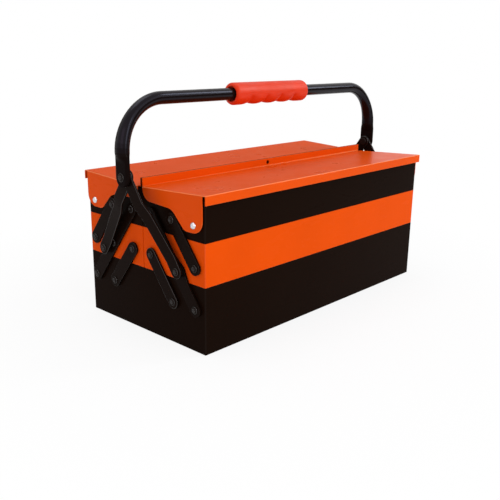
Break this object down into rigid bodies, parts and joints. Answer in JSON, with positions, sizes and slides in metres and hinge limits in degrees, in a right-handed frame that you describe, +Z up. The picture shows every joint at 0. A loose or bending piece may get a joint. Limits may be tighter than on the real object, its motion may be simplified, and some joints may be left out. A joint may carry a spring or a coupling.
{
  "type": "cantilever tool box",
  "caption": "Steel cantilever tool box with orange and black trays on parallel end links, outward opening lids and a bail handle with a soft grip.",
  "frame": {"origin": "under the middle of the bottom box, on the surface it stands on", "axes": "+X along the box to the right end, +Y to the rear, +Z up"},
  "size_m": [0.461, 0.205, 0.27],
  "materials": {
    "orange_paint": "gloss",
    "black_paint": "gloss",
    "black_link": "satin",
    "black_tube": "gloss",
    "black_rivet": "satin",
    "bright_rivet": "polished",
    "grip": "soft matte"
  },
  "bodies": {
    "base": {"bottom_box": "black_paint", "box_rivets": "black_rivet"},
    "handle": {"handle_tube": "black_tube", "handle_grip": "grip", "handle_rivets": "black_rivet"},
    "front_main_links": {"front_left_main_link": "black_link", "front_right_main_link": "black_link", "front_link_studs": "black_rivet"},
    "front_lower_links": {"front_left_lower_link": "black_link", "front_right_lower_link": "black_link"},
    "front_middle_tray": {"front_middle_tray": "orange_paint", "front_middle_tray_rivets": "black_rivet"},
    "front_upper_links": {"front_left_upper_link": "black_link", "front_right_upper_link": "black_link"},
    "front_top_tray": {"front_top_tray": "black_paint", "front_top_tray_rivets": "black_rivet", "front_lid_rivets": "bright_rivet"},
    "front_lid": {"front_lid": "orange_paint"},
    "front_handle_links": {"front_left_handle_link": "black_link", "front_right_handle_link": "black_link", "front_handle_link_rivets": "black_rivet"},
    "rear_main_links": {"rear_left_main_link": "black_link", "rear_right_main_link": "black_link", "rear_link_studs": "black_rivet"},
    "rear_lower_links": {"rear_left_lower_link": "black_link", "rear_right_lower_link": "black_link"},
    "rear_middle_tray": {"rear_middle_tray": "orange_paint", "rear_middle_tray_rivets": "black_rivet"},
    "rear_upper_links": {"rear_left_upper_link": "black_link", "rear_right_upper_link": "black_link"},
    "rear_top_tray": {"rear_top_tray": "black_paint", "rear_top_tray_rivets": "black_rivet", "rear_lid_rivets": "bright_rivet"},
    "rear_lid": {"rear_lid": "orange_paint"},
    "rear_handle_links": {"rear_left_handle_link": "black_link", "rear_right_handle_link": "black_link", "rear_handle_link_rivets": "black_rivet"}
  },
  "joints": [
    {"name": "front_fold", "type": "hinge", "parent": "base", "child": "front_main_links", "pos_m": [0, -0.086, 0.048], "axis": [1, 0, 0], "range_deg": [0, 62]},
    {"name": "handle_drop", "type": "slide", "parent": "base", "child": "handle", "axis": [0, 0, -1], "range_m": [0, 0.06405]},
    {"name": "front_lower_link_pivot", "type": "hinge", "parent": "base", "child": "front_lower_links", "pos_m": [0, -0.051, 0.048], "axis": [1, 0, 0], "range_deg": [0, 62]},
    {"name": "front_middle_tray_pivot", "type": "hinge", "parent": "front_main_links", "child": "front_middle_tray", "pos_m": [0, -0.051, 0.093], "axis": [-1, 0, 0], "range_deg": [0, 62]},
    {"name": "front_top_tray_pivot", "type": "hinge", "parent": "front_main_links", "child": "front_top_tray", "pos_m": [0, -0.016, 0.138], "axis": [-1, 0, 0], "range_deg": [0, 62]},
    {"name": "front_upper_link_pivot", "type": "hinge", "parent": "front_middle_tray", "child": "front_upper_links", "pos_m": [0, -0.086, 0.093], "axis": [1, 0, 0], "range_deg": [0, 62]},
    {"name": "front_lid_hinge", "type": "hinge", "parent": "front_top_tray", "child": "front_lid", "pos_m": [0, -0.0843, 0.1377], "axis": [1, 0, 0], "range_deg": [0, 90]},
    {"name": "front_handle_link_pivot", "type": "hinge", "parent": "handle", "child": "front_handle_links", "pos_m": [0, 0, 0.178], "axis": [-1, 0, 0], "range_deg": [0, 41.16]},
    {"name": "rear_fold", "type": "hinge", "parent": "base", "child": "rear_main_links", "pos_m": [0, 0.086, 0.048], "axis": [-1, 0, 0], "range_deg": [0, 62]},
    {"name": "rear_lower_link_pivot", "type": "hinge", "parent": "base", "child": "rear_lower_links", "pos_m": [0, 0.051, 0.048], "axis": [-1, 0, 0], "range_deg": [0, 62]},
    {"name": "rear_middle_tray_pivot", "type": "hinge", "parent": "rear_main_links", "child": "rear_middle_tray", "pos_m": [0, 0.051, 0.093], "axis": [1, 0, 0], "range_deg": [0, 62]},
    {"name": "rear_top_tray_pivot", "type": "hinge", "parent": "rear_main_links", "child": "rear_top_tray", "pos_m": [0, 0.016, 0.138], "axis": [1, 0, 0], "range_deg": [0, 62]},
    {"name": "rear_upper_link_pivot", "type": "hinge", "parent": "rear_middle_tray", "child": "rear_upper_links", "pos_m": [0, 0.086, 0.093], "axis": [-1, 0, 0], "range_deg": [0, 62]},
    {"name": "rear_lid_hinge", "type": "hinge", "parent": "rear_top_tray", "child": "rear_lid", "pos_m": [0, 0.0843, 0.1377], "axis": [-1, 0, 0], "range_deg": [0, 90]},
    {"name": "rear_handle_link_pivot", "type": "hinge", "parent": "handle", "child": "rear_handle_links", "pos_m": [0, 0, 0.178], "axis": [1, 0, 0], "range_deg": [0, 41.16]}
  ],
  "couplings": [
    {"joint": "front_lower_link_pivot", "follows": "front_fold", "ratio": 1},
    {"joint": "front_middle_tray_pivot", "follows": "front_fold", "ratio": 1},
    {"joint": "front_top_tray_pivot", "follows": "front_fold", "ratio": 1},
    {"joint": "front_upper_link_pivot", "follows": "front_fold", "ratio": 1},
    {"joint": "front_handle_link_pivot", "follows": "front_fold", "ratio": 0.66371},
    {"joint": "rear_fold", "follows": "front_fold", "ratio": 1},
    {"joint": "rear_lower_link_pivot", "follows": "front_fold", "ratio": 1},
    {"joint": "rear_middle_tray_pivot", "follows": "front_fold", "ratio": 1},
    {"joint": "rear_top_tray_pivot", "follows": "front_fold", "ratio": 1},
    {"joint": "rear_upper_link_pivot", "follows": "front_fold", "ratio": 1},
    {"joint": "rear_handle_link_pivot", "follows": "front_fold", "ratio": 0.66371},
    {"joint": "handle_drop", "follows": "front_fold", "m_per_rad": 0.0591}
  ]
}
